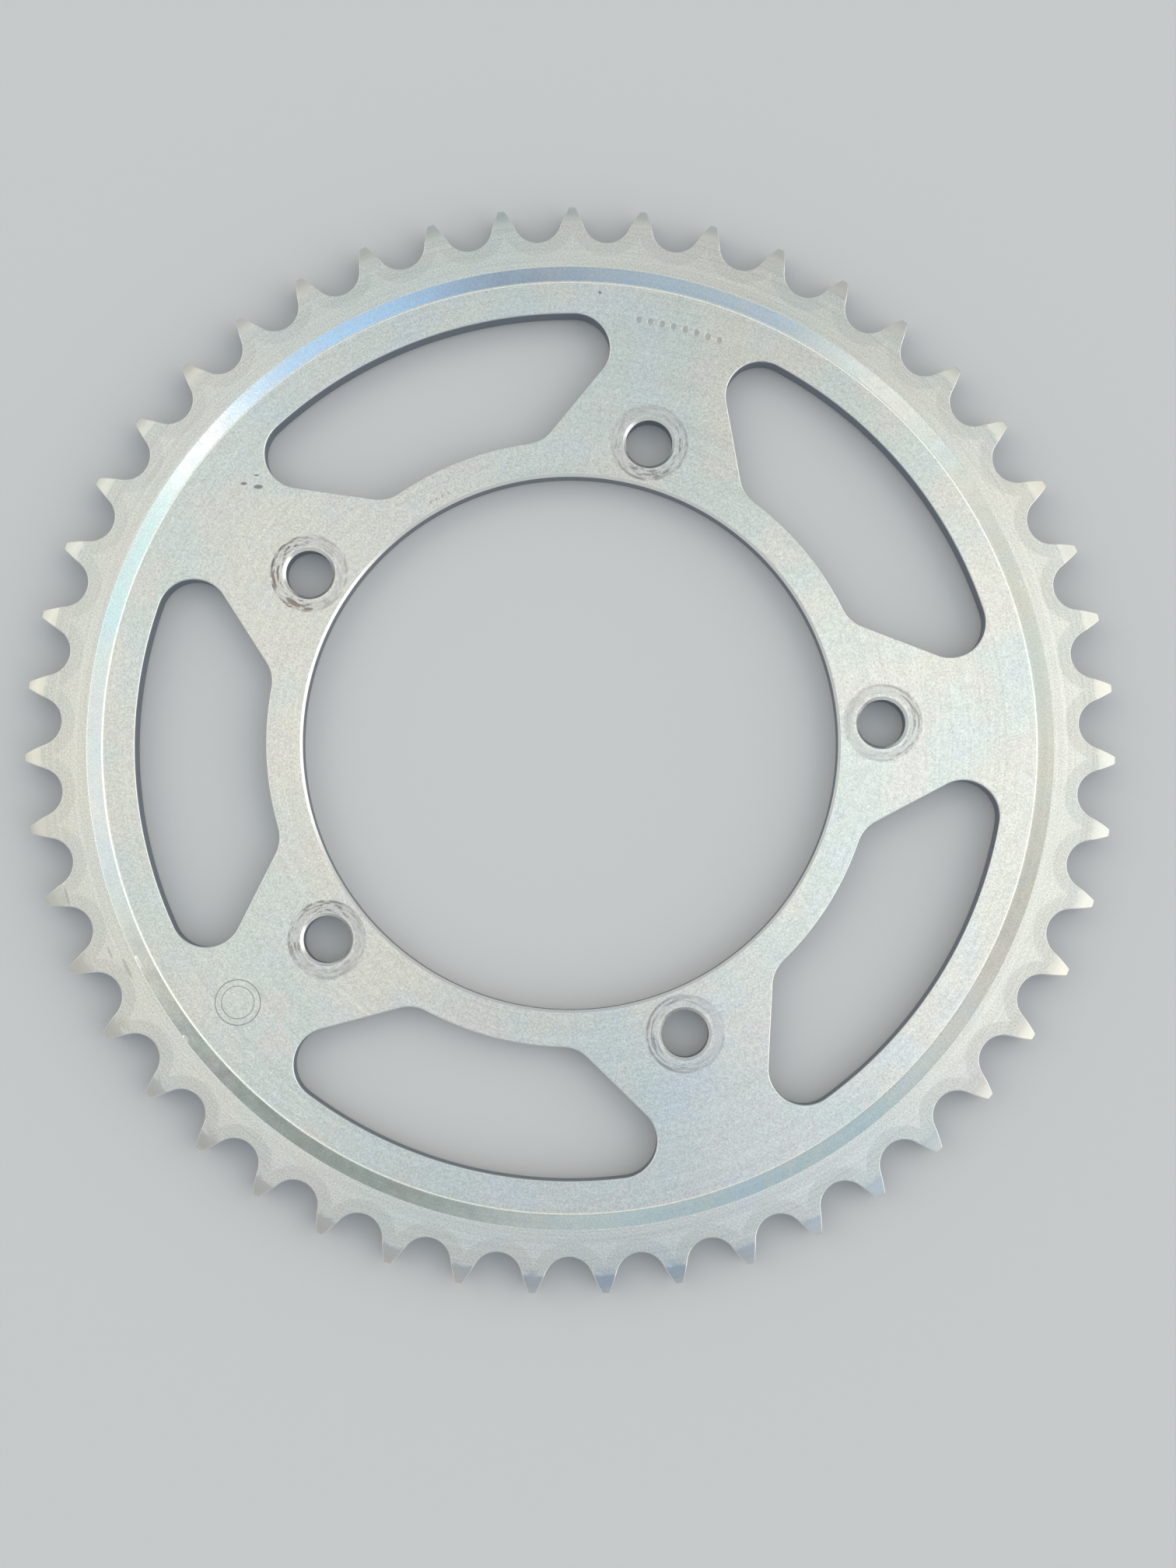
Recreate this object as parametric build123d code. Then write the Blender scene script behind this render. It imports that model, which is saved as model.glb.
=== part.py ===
from build123d import *
import math
import os

# Rear chain sprocket, cut from one steel plate. It lies flat: +Z runs along the bore axis, z = 0 is the
# plate's mid-plane, and one bolt hole and one tooth gap are centred on +X. Both faces are alike. All in mm.

# Chain and teeth
CHAIN_PITCH = 15.875
ROLLER_DIA = 10.16
TOOTH_COUNT = 47
TIP_RADIUS = 122.2
TIP_CORNER_RADIUS = 0.5
SEAT_RADIUS = 5.5
SEAT_ANGLE = 135.0

# Plate: a thick toothed rim around a thinner web
RIM_THICKNESS = 7.2
WEB_THICKNESS = 5.1
STEP_INNER_RADIUS = 104.7
STEP_OUTER_RADIUS = 108.0
STEP_FOOT_FILLET = 2.6
STEP_CREST_FILLET = 0.8

# Relief on both sides of the tooth tips, which leads the chain's side plates in
RELIEF_START_RADIUS = 117.9
RELIEF_START_ANGLE = 9.0
RELIEF_CURVE_RADIUS = 15.9

# Bore and bolt circle
BORE_DIA = 120.0
BORE_CHAMFER = 0.6
BOLT_COUNT = 5
BOLT_CIRCLE_DIA = 140.0
BOLT_HOLE_DIA = 10.5
BOLT_HOLE_CHAMFER = 0.7

# Windows, each midway between two bolt holes
WINDOW_INNER_RADIUS = 68.2
WINDOW_OUTER_RADIUS = 97.5
WINDOW_SIDE_ANGLE = 60.5
WINDOW_SIDE_OFFSET = 47.9
WINDOW_CORNER_RADIUS = 8.0

CUT_DEPTH = RIM_THICKNESS + 2.0

TOOTH_STEP = 360 / TOOTH_COUNT
BOLT_STEP = 360 / BOLT_COUNT
PITCH_RADIUS = CHAIN_PITCH / (2 * math.sin(math.pi / TOOTH_COUNT))
ROOT_RADIUS = PITCH_RADIUS - ROLLER_DIA / 2
# Flank radius of a standard roller-chain tooth, which grows with the number of teeth
FLANK_RADIUS = 0.12 * ROLLER_DIA * (TOOTH_COUNT + 2)


def polar(radius, angle):
    return Vector(radius * math.cos(math.radians(angle)), radius * math.sin(math.radians(angle)))


def mirrored(point):
    return Vector(point.X, -point.Y)


def circle_crossing(centre, radius, from_origin):
    """The point at distance from_origin from the bore axis and radius from centre, on centre's clockwise side."""
    reach = centre.length
    along = (reach**2 + from_origin**2 - radius**2) / (2 * reach)
    across = math.sqrt(from_origin**2 - along**2)
    outward = centre / reach
    return outward * along + Vector(outward.Y, -outward.X) * across


def toward(start, end, distance):
    return start + (end - start).normalized() * distance


def tooth_gap_points():
    """Half of the tooth gap centred on +X: root, end of the roller seat, mid-flank, then the tip's corner."""
    seat_centre = Vector(ROOT_RADIUS + SEAT_RADIUS, 0)
    seat_direction = polar(1, 180 - SEAT_ANGLE / 2)
    seat_end = seat_centre + seat_direction * SEAT_RADIUS
    flank_centre = seat_centre + seat_direction * (SEAT_RADIUS + FLANK_RADIUS)
    corner_centre = circle_crossing(
        flank_centre, FLANK_RADIUS - TIP_CORNER_RADIUS, TIP_RADIUS - TIP_CORNER_RADIUS
    )
    flank_end = toward(flank_centre, corner_centre, FLANK_RADIUS)
    flank_middle = toward(flank_centre, (seat_end + flank_end) / 2, FLANK_RADIUS)
    tip_end = toward(Vector(0, 0), corner_centre, TIP_RADIUS)
    corner_middle = toward(corner_centre, (flank_end + tip_end) / 2, TIP_CORNER_RADIUS)
    return seat_end, flank_middle, flank_end, corner_middle, tip_end


def toothed_outline():
    """The closed outline of all the teeth, seen along Z."""
    seat_end, flank_middle, flank_end, corner_middle, tip_end = tooth_gap_points()
    root = Vector(ROOT_RADIUS, 0)
    tip_middle = polar(TIP_RADIUS, TOOTH_STEP / 2)
    next_tip_end = mirrored(tip_end).rotate(Axis.Z, TOOTH_STEP)
    arcs = [
        (mirrored(tip_end), mirrored(corner_middle), mirrored(flank_end)),
        (mirrored(flank_end), mirrored(flank_middle), mirrored(seat_end)),
        (mirrored(seat_end), root, seat_end),
        (seat_end, flank_middle, flank_end),
        (flank_end, corner_middle, tip_end),
        (tip_end, tip_middle, next_tip_end),
    ]
    edges = []
    for tooth in range(TOOTH_COUNT):
        for arc in arcs:
            edges.append(ThreePointArc(*[point.rotate(Axis.Z, tooth * TOOTH_STEP) for point in arc]))
    return make_face(Wire(edges))


def upper_section():
    """The plate's section above the mid-plane, in XZ, from the bore to the tooth tips."""
    web_top = WEB_THICKNESS / 2
    rim_top = RIM_THICKNESS / 2
    bore_radius = BORE_DIA / 2
    start_angle = math.radians(RELIEF_START_ANGLE)
    curve_centre = Vector(
        RELIEF_START_RADIUS - RELIEF_CURVE_RADIUS * math.sin(start_angle),
        rim_top - RELIEF_CURVE_RADIUS * math.cos(start_angle),
    )

    def relief_point(radius):
        run = radius - curve_centre.X
        return (radius, curve_centre.Y + math.sqrt(RELIEF_CURVE_RADIUS**2 - run**2))

    relief_start = (RELIEF_START_RADIUS, rim_top)
    relief_middle = relief_point((RELIEF_START_RADIUS + TIP_RADIUS) / 2)
    relief_end = relief_point(TIP_RADIUS)
    step_foot = (STEP_INNER_RADIUS, web_top)
    step_crest = (STEP_OUTER_RADIUS, rim_top)
    with BuildSketch(Plane.XZ) as section:
        with BuildLine():
            Polyline(
                (TIP_RADIUS, 0),
                (bore_radius, 0),
                (bore_radius, web_top - BORE_CHAMFER),
                (bore_radius + BORE_CHAMFER, web_top),
                step_foot,
                step_crest,
                relief_start,
            )
            ThreePointArc(relief_start, relief_middle, relief_end)
            Line(relief_end, (TIP_RADIUS, 0))
        make_face()
        fillet(vertex_near(section, step_foot), STEP_FOOT_FILLET)
        fillet(vertex_near(section, step_crest), STEP_CREST_FILLET)
    return section.sketch


def vertex_near(section, point):
    target = Vector(*point)
    return section.vertices(Select.ALL).sort_by_distance(Plane.XZ.from_local_coords(target))[0]


def plate_blank():
    upper = revolve(upper_section(), Axis.Z)
    return upper + mirror(upper, Plane.XY)


def window():
    """One window centred on +X: a ring sector between two straight sides, with round corners."""
    inner_edge = corner_on_side(WINDOW_INNER_RADIUS)
    outer_edge = corner_on_side(WINDOW_OUTER_RADIUS)
    with BuildSketch() as outline:
        with BuildLine():
            ThreePointArc(mirrored(outer_edge), (WINDOW_OUTER_RADIUS, 0), outer_edge)
            Line(outer_edge, inner_edge)
            ThreePointArc(inner_edge, (WINDOW_INNER_RADIUS, 0), mirrored(inner_edge))
            Line(mirrored(inner_edge), mirrored(outer_edge))
        make_face()
        fillet(outline.vertices(), WINDOW_CORNER_RADIUS)
    return extrude(outline.sketch, CUT_DEPTH / 2, both=True)


def corner_on_side(radius):
    """Where a window's straight side crosses a circle about the bore axis."""
    along = math.sqrt(radius**2 - WINDOW_SIDE_OFFSET**2)
    return polar(WINDOW_SIDE_OFFSET, WINDOW_SIDE_ANGLE - 90) + polar(along, WINDOW_SIDE_ANGLE)


def bolt_hole():
    """One bolt hole centred on the bore axis, with a chamfer at each face of the web."""
    radius = BOLT_HOLE_DIA / 2
    flare = BOLT_HOLE_CHAMFER + (CUT_DEPTH - WEB_THICKNESS) / 2
    hole = Cylinder(radius, CUT_DEPTH)
    for side in (1, -1):
        middle = side * (CUT_DEPTH - flare) / 2
        bottom_radius, top_radius = (radius, radius + flare) if side > 0 else (radius + flare, radius)
        hole += Pos(0, 0, middle) * Cone(bottom_radius, top_radius, flare)
    return hole


def sprocket():
    body = plate_blank() & extrude(toothed_outline(), CUT_DEPTH / 2, both=True)
    one_hole = bolt_hole()
    one_window = window()
    for index in range(BOLT_COUNT):
        body -= Rot(0, 0, index * BOLT_STEP) * Pos(BOLT_CIRCLE_DIA / 2, 0, 0) * one_hole
        body -= Rot(0, 0, (index + 0.5) * BOLT_STEP) * one_window
    return body


os.makedirs("parts", exist_ok=True)
export_step(sprocket(), "parts/sprocket.step")
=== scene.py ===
import math

import bpy
import numpy as np
from mathutils import Matrix, Vector
from mathutils.geometry import delaunay_2d_cdt


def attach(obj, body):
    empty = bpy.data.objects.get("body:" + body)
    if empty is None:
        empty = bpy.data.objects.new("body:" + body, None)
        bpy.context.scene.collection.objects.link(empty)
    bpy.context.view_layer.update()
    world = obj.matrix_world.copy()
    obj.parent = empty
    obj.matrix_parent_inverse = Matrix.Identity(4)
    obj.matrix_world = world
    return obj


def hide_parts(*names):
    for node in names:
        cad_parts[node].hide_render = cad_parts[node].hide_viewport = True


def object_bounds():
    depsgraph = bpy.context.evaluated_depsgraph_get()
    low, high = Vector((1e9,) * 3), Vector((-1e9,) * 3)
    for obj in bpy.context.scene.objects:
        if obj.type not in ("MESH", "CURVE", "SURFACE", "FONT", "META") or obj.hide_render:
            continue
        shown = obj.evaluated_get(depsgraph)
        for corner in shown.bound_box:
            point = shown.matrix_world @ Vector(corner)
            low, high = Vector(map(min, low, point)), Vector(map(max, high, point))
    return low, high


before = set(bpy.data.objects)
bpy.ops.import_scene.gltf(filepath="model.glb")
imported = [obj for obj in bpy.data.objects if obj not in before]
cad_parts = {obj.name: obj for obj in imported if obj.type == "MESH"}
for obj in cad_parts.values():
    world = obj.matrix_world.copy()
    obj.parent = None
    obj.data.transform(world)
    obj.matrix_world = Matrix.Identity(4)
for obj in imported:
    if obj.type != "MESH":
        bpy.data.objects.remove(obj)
cad_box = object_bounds()

# The plate is built in mm in the CAD frame: +Z along the bore, +X through one bolt hole and one tooth gap.
MM = 0.001

# Chain and teeth
CHAIN_PITCH = 15.875
ROLLER_DIA = 10.16
TOOTH_COUNT = 47
TIP_RADIUS = 122.2
TIP_CORNER_RADIUS = 0.5
SEAT_RADIUS = 5.5
SEAT_ANGLE = 135.0

# Plate: a thick toothed rim around a thinner web, with relief on both sides of the tooth tips
RIM_THICKNESS = 7.2
WEB_THICKNESS = 5.1
STEP_INNER_RADIUS = 104.7
STEP_OUTER_RADIUS = 108.0
STEP_FOOT_FILLET = 2.6
STEP_CREST_FILLET = 0.8
RELIEF_START_RADIUS = 117.9
RELIEF_START_ANGLE = 9.0
RELIEF_CURVE_RADIUS = 15.9

# Holes and windows
BORE_DIA = 120.0
BORE_CHAMFER = 0.6
BOLT_COUNT = 5
BOLT_CIRCLE_DIA = 140.0
BOLT_HOLE_DIA = 10.5
BOLT_HOLE_CHAMFER = 0.7
WINDOW_INNER_RADIUS = 68.2
WINDOW_OUTER_RADIUS = 97.5
WINDOW_SIDE_ANGLE = 60.5
WINDOW_SIDE_OFFSET = 47.9
WINDOW_CORNER_RADIUS = 8.0

# Broken edges
OUTLINE_EDGE_RADIUS = 0.22
WINDOW_EDGE_RADIUS = 0.28
CHAMFER_ROUNDING = 0.06

# How finely the mesh follows each curve: steps along half a tooth gap, half a window, circles and edges
SEAT_STEPS = 9
FLANK_STEPS = 7
TIP_CORNER_STEPS = 4
TIP_STEPS = 2
WINDOW_OUTER_STEPS = 40
WINDOW_OUTER_CORNER_STEPS = 32
WINDOW_INNER_CORNER_STEPS = 20
WINDOW_INNER_STEPS = 16
BORE_STEPS = 360
BOLT_HOLE_STEPS = 72
GUIDE_STEPS = 720
EDGE_STEPS = 4

# How many guide circles the mesh has across each place where the face bends
FOOT_GUIDES = 6
CREST_GUIDES = 4
RELIEF_GUIDES = 7
# Points nearer to each other than this, in mm, are one point
MERGE_DISTANCE = 1e-6

TOOTH_STEP = 2 * math.pi / TOOTH_COUNT
BOLT_STEP = 2 * math.pi / BOLT_COUNT
PITCH_RADIUS = CHAIN_PITCH / (2 * math.sin(math.pi / TOOTH_COUNT))
ROOT_RADIUS = PITCH_RADIUS - ROLLER_DIA / 2
# Flank radius of a standard roller-chain tooth, which grows with the number of teeth
FLANK_RADIUS = 0.12 * ROLLER_DIA * (TOOTH_COUNT + 2)
SEAT_CENTRE_RADIUS = ROOT_RADIUS + SEAT_RADIUS
WEB_TOP = WEB_THICKNESS / 2
RIM_TOP = RIM_THICKNESS / 2

# The step's slope, and how far its two fillets reach from the corners that they round
STEP_SLOPE = math.atan2(RIM_TOP - WEB_TOP, STEP_OUTER_RADIUS - STEP_INNER_RADIUS)
FOOT_RUN = STEP_FOOT_FILLET * math.tan(STEP_SLOPE / 2)
CREST_RUN = STEP_CREST_FILLET * math.tan(STEP_SLOPE / 2)
FOOT_START = STEP_INNER_RADIUS - FOOT_RUN
FOOT_END = STEP_INNER_RADIUS + FOOT_RUN * math.cos(STEP_SLOPE)
CREST_START = STEP_OUTER_RADIUS - CREST_RUN * math.cos(STEP_SLOPE)
CREST_END = STEP_OUTER_RADIUS + CREST_RUN


# ---------------------------------------------------------------- outlines, as N x 2 arrays in mm


def polar(radius, angle):
    return np.array([radius * math.cos(angle), radius * math.sin(angle)])


def angle_of(vector):
    return math.atan2(vector[1], vector[0])


def arc(centre, radius, start, end, steps):
    """Points from angle start to angle end, without the last one."""
    angles = start + (end - start) * np.arange(steps) / steps
    return np.asarray(centre) + radius * np.stack([np.cos(angles), np.sin(angles)], axis=1)


def circle(centre, radius, steps):
    return arc(centre, radius, 0, 2 * math.pi, steps)


def turned(points, angle):
    c = math.cos(angle)
    s = math.sin(angle)
    return points @ np.array([[c, s], [-s, c]])


def circle_crossing(centre, radius, from_origin):
    """The point at from_origin from the bore axis and radius from centre, clockwise of centre."""
    reach = np.linalg.norm(centre)
    along = (reach**2 + from_origin**2 - radius**2) / (2 * reach)
    across = math.sqrt(from_origin**2 - along**2)
    outward = centre / reach
    return outward * along + np.array([outward[1], -outward[0]]) * across


def toothed_outline(inset):
    """All the teeth, moved inset into the steel."""
    seat_centre = np.array([SEAT_CENTRE_RADIUS, 0.0])
    seat_end_angle = math.pi - math.radians(SEAT_ANGLE / 2)
    flank_centre = seat_centre + polar(SEAT_RADIUS + FLANK_RADIUS, seat_end_angle)
    corner_centre = circle_crossing(
        flank_centre, FLANK_RADIUS - TIP_CORNER_RADIUS, TIP_RADIUS - TIP_CORNER_RADIUS
    )
    flank_start_angle = seat_end_angle - math.pi
    flank_end_angle = angle_of(corner_centre - flank_centre)
    tip_end_angle = angle_of(corner_centre)
    tip_radius = TIP_RADIUS - inset
    half_gap = np.concatenate([
        arc(seat_centre, SEAT_RADIUS + inset, math.pi, seat_end_angle, SEAT_STEPS),
        arc(flank_centre, FLANK_RADIUS - inset, flank_start_angle, flank_end_angle, FLANK_STEPS),
        arc(corner_centre, TIP_CORNER_RADIUS - inset, flank_end_angle, tip_end_angle, TIP_CORNER_STEPS),
        arc((0, 0), tip_radius, tip_end_angle, TOOTH_STEP / 2, TIP_STEPS),
        [polar(tip_radius, TOOTH_STEP / 2)],
    ])
    mirrored = half_gap[:0:-1] * (1, -1)
    gap = np.concatenate([mirrored, half_gap[:-1]])
    return np.concatenate([turned(gap, tooth * TOOTH_STEP) for tooth in range(TOOTH_COUNT)])


def window_corner_centre(radius):
    """Centre of a window's round corner, at radius from the bore axis, for the window centred on +X."""
    side_angle = math.radians(WINDOW_SIDE_ANGLE)
    off_side = WINDOW_SIDE_OFFSET + WINDOW_CORNER_RADIUS
    along_side = math.sqrt(radius**2 - off_side**2)
    return polar(off_side, side_angle - math.pi / 2) + polar(along_side, side_angle)


def window_outline(inset, turn):
    """One window, moved inset into the steel."""
    outer = window_corner_centre(WINDOW_OUTER_RADIUS - WINDOW_CORNER_RADIUS)
    inner = window_corner_centre(WINDOW_INNER_RADIUS + WINDOW_CORNER_RADIUS)
    outer_angle = angle_of(outer)
    inner_angle = angle_of(inner)
    to_side = math.radians(WINDOW_SIDE_ANGLE) + math.pi / 2
    corner_radius = WINDOW_CORNER_RADIUS + inset
    outer_radius = WINDOW_OUTER_RADIUS + inset
    inner_radius = WINDOW_INNER_RADIUS - inset
    half = np.concatenate([
        arc((0, 0), outer_radius, 0, outer_angle, WINDOW_OUTER_STEPS),
        arc(outer, corner_radius, outer_angle, to_side, WINDOW_OUTER_CORNER_STEPS),
        arc(inner, corner_radius, to_side, inner_angle + math.pi, WINDOW_INNER_CORNER_STEPS),
        arc((0, 0), inner_radius, inner_angle, 0, WINDOW_INNER_STEPS),
        [(inner_radius, 0.0)],
    ])
    mirrored = half[-2:0:-1] * (1, -1)
    return turned(np.concatenate([half, mirrored]), turn)


def hole_centres():
    return [polar(BOLT_CIRCLE_DIA / 2, index * BOLT_STEP) for index in range(BOLT_COUNT)]


# ---------------------------------------------------------------- the upper face's height and slope


def relief_angle(radius):
    start = math.radians(RELIEF_START_ANGLE)
    centre = RELIEF_START_RADIUS - RELIEF_CURVE_RADIUS * math.sin(start)
    return math.asin((radius - centre) / RELIEF_CURVE_RADIUS)


def upper_face(radius):
    """Height above the mid-plane, and the face's slope angle (positive where it rises outwards)."""
    if radius <= FOOT_START:
        return WEB_TOP, 0.0
    if radius <= FOOT_END:
        angle = math.asin((radius - FOOT_START) / STEP_FOOT_FILLET)
        return WEB_TOP + STEP_FOOT_FILLET * (1 - math.cos(angle)), angle
    if radius <= CREST_START:
        return WEB_TOP + (radius - STEP_INNER_RADIUS) * math.tan(STEP_SLOPE), STEP_SLOPE
    if radius <= CREST_END:
        angle = math.asin((CREST_END - radius) / STEP_CREST_FILLET)
        return RIM_TOP - STEP_CREST_FILLET * (1 - math.cos(angle)), angle
    if radius <= RELIEF_START_RADIUS:
        return RIM_TOP, 0.0
    angle = relief_angle(min(radius, TIP_RADIUS))
    drop = RELIEF_CURVE_RADIUS * (math.cos(math.radians(RELIEF_START_ANGLE)) - math.cos(angle))
    return RIM_TOP - drop, -angle


def guide_radii():
    """Circles that the mesh follows, where the face bends."""
    foot = np.linspace(FOOT_START, FOOT_END, FOOT_GUIDES)
    crest = np.linspace(CREST_START, CREST_END, CREST_GUIDES)
    relief_end = TIP_RADIUS - OUTLINE_EDGE_RADIUS
    relief = np.linspace(RELIEF_START_RADIUS, relief_end, RELIEF_GUIDES, endpoint=False)
    return [*foot, *crest, *relief]


# ---------------------------------------------------------------- the mesh


def rounded_edge(radius):
    """(outward, drop, tilt) of an edge broken with a radius, from the face to the wall."""
    tilts = [math.pi / 2 * step / EDGE_STEPS for step in range(1, EDGE_STEPS + 1)]
    return [(radius * math.sin(tilt), radius * (1 - math.cos(tilt)), tilt) for tilt in tilts]


def chamfered_edge(size, rounding):
    """(outward, drop, tilt) of a 45 degree chamfer, with its own two corners just softened."""
    quarter = math.pi / 4
    run = rounding * math.sin(quarter)
    fall = rounding * (1 - math.cos(quarter))
    return [
        (run / 2, fall / 4, quarter / 2),
        (run, fall, quarter),
        (size - fall, size - run, quarter),
        (size - fall / 4, size - run / 2, quarter * 1.5),
        (size, size, quarter * 2),
    ]


def edge_loops():
    """Each closed edge of the upper face: its outline where the flat face ends, and the edge's profile."""
    outline = rounded_edge(OUTLINE_EDGE_RADIUS)
    window = rounded_edge(WINDOW_EDGE_RADIUS)
    bore = chamfered_edge(BORE_CHAMFER, CHAMFER_ROUNDING)
    bolt = chamfered_edge(BOLT_HOLE_CHAMFER, CHAMFER_ROUNDING)
    loops = [(toothed_outline(OUTLINE_EDGE_RADIUS), outline)]
    loops.append((circle((0, 0), BORE_DIA / 2 + BORE_CHAMFER, BORE_STEPS), bore))
    for centre in hole_centres():
        loops.append((circle(centre, BOLT_HOLE_DIA / 2 + BOLT_HOLE_CHAMFER, BOLT_HOLE_STEPS), bolt))
    for index in range(BOLT_COUNT):
        loops.append((window_outline(WINDOW_EDGE_RADIUS, (index + 0.5) * BOLT_STEP), window))
    return loops


def profile_of(points, loops):
    """The edge profile of the outline that a chain follows."""
    distances = [np.linalg.norm(loop - points[0], axis=1).min() for loop, _ in loops]
    return loops[int(np.argmin(distances))][1]


def inside(points, outlines):
    """Even-odd test of many points against closed outlines."""
    x, y = points.T
    odd = np.zeros(len(points), bool)
    for outline in outlines:
        for (x0, y0), (x1, y1) in zip(outline, np.roll(outline, -1, axis=0)):
            crosses = (y0 > y) != (y1 > y)
            if y0 != y1:
                odd ^= crosses & (x < x0 + (y - y0) * (x1 - x0) / (y1 - y0))
    return odd


def flat_triangles(outlines):
    """The upper face seen along Z: points, and triangles between the outlines, cut at the guide circles."""
    points = []
    edges = []
    guides = [circle((0, 0), radius, GUIDE_STEPS) for radius in guide_radii()]
    for loop in [*outlines, *guides]:
        first = len(points)
        points.extend(Vector(point) for point in loop)
        edges.extend((first + i, first + (i + 1) % len(loop)) for i in range(len(loop)))
    made, _, triangles, _, _, _ = delaunay_2d_cdt(points, edges, [], 0, MERGE_DISTANCE)
    flat = np.array([tuple(point) for point in made])
    triangles = np.array(triangles)
    triangles = triangles[inside(flat[triangles].mean(axis=1), outlines)]
    used = np.unique(triangles)
    renumber = np.full(len(flat), -1)
    renumber[used] = np.arange(len(used))
    return flat[used], renumber[triangles]


def boundary_chains(triangles):
    """Closed chains of boundary vertices, each with the steel on its left."""
    edges = np.concatenate([triangles[:, [0, 1]], triangles[:, [1, 2]], triangles[:, [2, 0]]])
    known = {tuple(edge) for edge in edges}
    following = {a: b for a, b in known if (b, a) not in known}
    chains = []
    while following:
        start, vertex = following.popitem()
        chain = [start]
        while vertex != start:
            chain.append(vertex)
            vertex = following.pop(vertex)
        chains.append(chain)
    return chains


def chain_normals(points):
    """Outward directions, away from the steel, at each point of a chain."""
    ahead = np.roll(points, -1, axis=0) - points
    ahead /= np.linalg.norm(ahead, axis=1, keepdims=True)
    tangent = ahead + np.roll(ahead, 1, axis=0)
    tangent /= np.linalg.norm(tangent, axis=1, keepdims=True)
    return np.stack([tangent[:, 1], -tangent[:, 0]], axis=1)


class HalfPlate:
    """The plate above its mid-plane. Its walls say how far each vertex is turned to a wall, from 0 to 1."""

    def __init__(self):
        loops = edge_loops()
        flat, triangles = flat_triangles([loop for loop, _ in loops])
        radii = np.linalg.norm(flat, axis=1)
        heights, slopes = np.array([upper_face(radius) for radius in radii]).T
        outward = flat / radii[:, None]
        normals = np.column_stack([-np.sin(slopes)[:, None] * outward, np.cos(slopes)])
        self.vertices = np.column_stack([flat, heights])
        self.normals = normals
        self.walls = np.zeros(len(flat))
        self.faces = [tuple(triangle) for triangle in triangles]
        for chain in boundary_chains(triangles):
            self.add_edge_and_wall(np.array(chain), profile_of(flat[chain], loops))

    def add_edge_and_wall(self, chain, profile):
        """Carries the face over one boundary's edge, then straight down its wall to the mid-plane."""
        top = self.vertices[chain]
        face_normals = self.normals[chain]
        flat_side = chain_normals(top[:, :2])
        side = np.column_stack([flat_side, np.zeros(len(chain))])
        previous = chain
        for outward, drop, tilt in profile:
            ring = top + side * outward - (0, 0, drop)
            normals = face_normals * math.cos(tilt) + side * math.sin(tilt)
            previous = self.add_ring(previous, ring, normals, tilt / (math.pi / 2))
        foot = ring * (1, 1, 0)
        self.add_ring(previous, foot, normals, 1.0)

    def add_ring(self, previous, vertices, normals, wall):
        """Joins a new ring of vertices to the one before it, and returns the new ring's numbers."""
        size = len(vertices)
        ring = np.arange(len(self.vertices), len(self.vertices) + size)
        self.vertices = np.concatenate([self.vertices, vertices])
        unit_normals = normals / np.linalg.norm(normals, axis=1, keepdims=True)
        self.normals = np.concatenate([self.normals, unit_normals])
        self.walls = np.concatenate([self.walls, np.full(size, wall)])
        for i in range(size):
            j = (i + 1) % size
            self.faces.append((previous[j], previous[i], ring[i], ring[j]))
        return ring


def plate_mesh():
    """The half above the mid-plane and its mirror image, joined along the mid-plane."""
    half = HalfPlate()
    count = len(half.vertices)
    above = half.vertices[:, 2] != 0.0
    lower_number = np.arange(count)
    lower_number[above] = count + np.arange(np.count_nonzero(above))
    flip = np.array([1, 1, -1])
    vertices = np.concatenate([half.vertices, half.vertices[above] * flip])
    normals = np.concatenate([half.normals, half.normals[above] * flip])
    walls = np.concatenate([half.walls, half.walls[above]])
    lower_faces = [tuple(lower_number[list(face)])[::-1] for face in half.faces]
    faces = [tuple(map(int, face)) for face in half.faces + lower_faces]
    mesh = bpy.data.meshes.new("plate")
    mesh.from_pydata((vertices * MM).tolist(), [], faces)
    wall_values = mesh.attributes.new("wall", "FLOAT", "POINT").data
    wall_values.foreach_set("value", walls.astype(np.float32))
    mesh.polygons.foreach_set("use_smooth", [True] * len(mesh.polygons))
    mesh.update()
    mesh.normals_split_custom_set_from_vertices(normals.tolist())
    return mesh


plate = bpy.data.objects.new("toothed_plate", plate_mesh())
bpy.context.scene.collection.objects.link(plate)
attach(plate, "root")
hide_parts("sprocket")


# ---------------------------------------------------------------- shader nodes


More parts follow.
